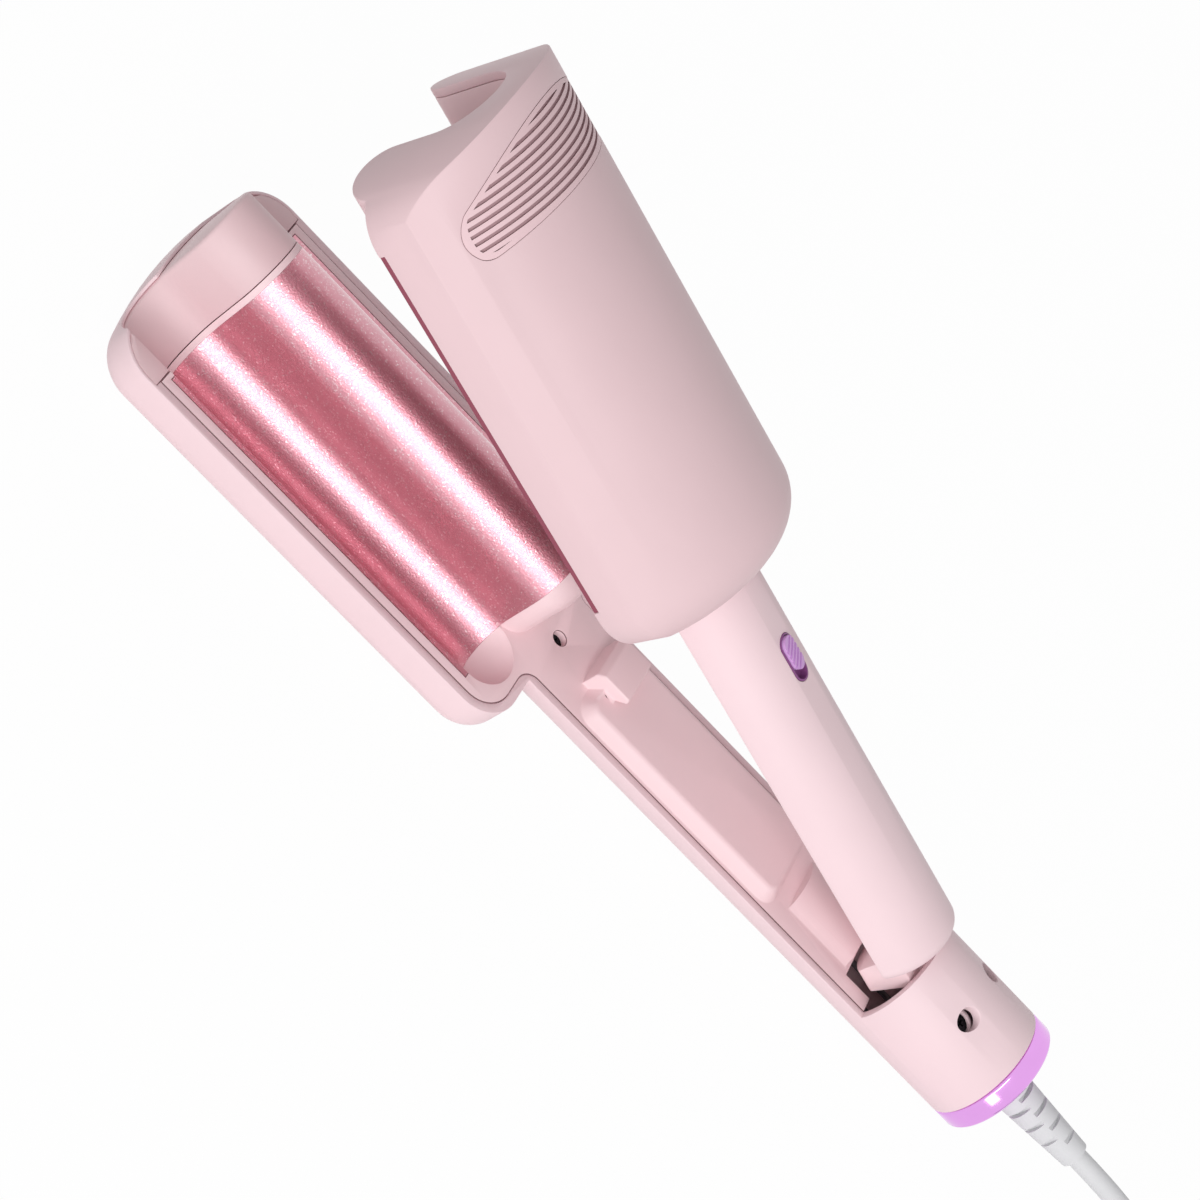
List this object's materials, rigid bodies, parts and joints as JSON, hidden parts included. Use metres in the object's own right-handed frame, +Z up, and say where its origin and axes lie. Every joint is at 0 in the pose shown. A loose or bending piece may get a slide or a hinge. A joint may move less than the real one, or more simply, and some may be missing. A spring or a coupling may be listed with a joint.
{
  "type": "hair waver",
  "caption": "Corded hair waver with two hinged arms, matching wave-shaped heated plates, a slide switch on the upper handle and a swivelling cord exit.",
  "frame": {"origin": "bottom centre of the waver without its cord, on the table, halfway between the tip of the lower arm and the tail ring", "axes": "+X along the arms towards the cord, +Y across the plates to the far side, +Z up"},
  "size_m": [0.5075, 0.139, 0.1442],
  "materials": {
    "shell_pink": "pale pink moulded plastic, satin",
    "deck_pink": "pink moulded plastic, fine matte grain",
    "cover_pink": "pale pink plastic, soft sheen",
    "plate_rose": "rose coated aluminium, satin with fine sparkle",
    "ring_purple": "purple mirror-anodised aluminium",
    "switch_purple": "purple plastic, satin",
    "grip_grey": "soft pink grip, matte",
    "relief_white": "white flexible strain relief",
    "cord_white": "white cord jacket",
    "heater_aluminium": "bare aluminium heater case",
    "bracket_nylon": "heat-resistant plastic",
    "steel": "plain steel",
    "black_screw": "black screw steel",
    "mica": "mica sheet",
    "sensor": "glass bead sensor",
    "board_green": "circuit board",
    "switch_black": "black switch housing",
    "brass": "brass",
    "wire_grey": "wire insulation"
  },
  "bodies": {
    "base": {"base_housing": "shell_pink", "base_deck": "deck_pink", "base_tip_block": "deck_pink", "base_wave_plate": "plate_rose", "base_heater": "heater_aluminium", "heater_bracket": "bracket_nylon", "thermal_fuse": "steel", "base_thermistor": "sensor", "neck_screw": "black_screw", "hinge_block": "deck_pink", "barrel_screws": "black_screw", "hinge_pin": "steel", "jaw_spring": "steel", "tail_ring": "ring_purple", "swivel_socket": "bracket_nylon", "lead_wires": "wire_grey", "power_cord": "cord_white", "cord_coil": "cord_white", "cord_tail": "cord_white", "plug_body": "relief_white", "plug_prongs": "brass"},
    "clamp": {"clamp_cover": "cover_pink", "finger_grip": "grip_grey", "clamp_tip_block": "deck_pink", "clamp_wave_plate": "plate_rose", "clamp_frame": "deck_pink", "clamp_heaters": "heater_aluminium", "clamp_mica": "mica", "clamp_thermistor": "sensor", "clamp_handle": "cover_pink", "handle_liner": "deck_pink", "liner_screws": "black_screw", "circuit_board": "board_green", "switch_bezel": "switch_purple", "switch_body": "switch_black"},
    "slider": {"switch_slider": "switch_purple"},
    "swivel": {"swivel_plug": "bracket_nylon", "strain_relief": "relief_white"}
  },
  "joints": [
    {"name": "jaw_hinge", "type": "hinge", "parent": "base", "child": "clamp", "pos_m": [0.14825, 0, 0.022], "axis": [0, 1, 0], "range_deg": [-16.59, 0], "stiffness_Nm_per_rad": 1.3, "springref_deg": 24.98},
    {"name": "switch_slide", "type": "slide", "parent": "clamp", "child": "slider", "axis": [0.9584, 0, -0.2855], "range_m": [0, 0.003]},
    {"name": "cord_swivel", "type": "hinge", "parent": "base", "child": "swivel", "pos_m": [0.1675, 0, 0.02], "axis": [1, 0, 0], "continuous": true}
  ]
}
